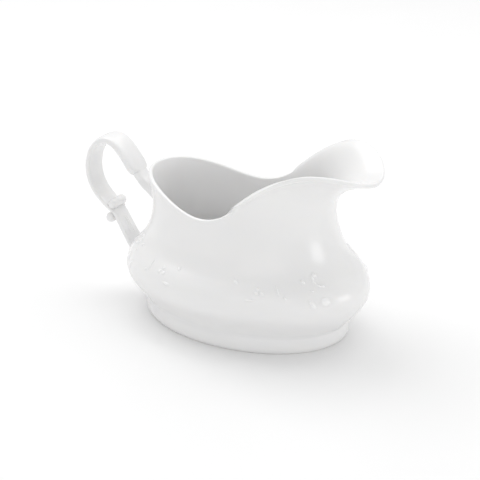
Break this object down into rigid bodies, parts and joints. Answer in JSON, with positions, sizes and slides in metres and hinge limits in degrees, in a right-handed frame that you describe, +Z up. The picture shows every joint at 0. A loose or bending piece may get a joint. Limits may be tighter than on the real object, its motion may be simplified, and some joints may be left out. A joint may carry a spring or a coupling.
{
  "type": "gravy boat",
  "caption": "White glazed porcelain gravy boat with a wide flared pouring lip, an oval foot, low relief sprays on the belly and a scroll handle.",
  "frame": {"origin": "on the surface that the boat stands on, under the middle of its box in plan", "axes": "+X towards the pouring lip, +Y across the bowl, +Z up"},
  "size_m": [0.1988, 0.1088, 0.1133],
  "materials": {
    "porcelain": "clear gloss glaze over a white body"
  },
  "bodies": {
    "root": {"bowl": "porcelain", "foot_ring": "porcelain", "handle_strap": "porcelain", "handle_stem": "porcelain", "inner_curl": "porcelain", "outer_curl": "porcelain", "lower_leg": "porcelain", "leg_ridge": "porcelain", "rim_fillet": "porcelain", "belly_fillet": "porcelain", "belly_sprays": "porcelain", "belly_pearls": "porcelain"}
  },
  "joints": []
}
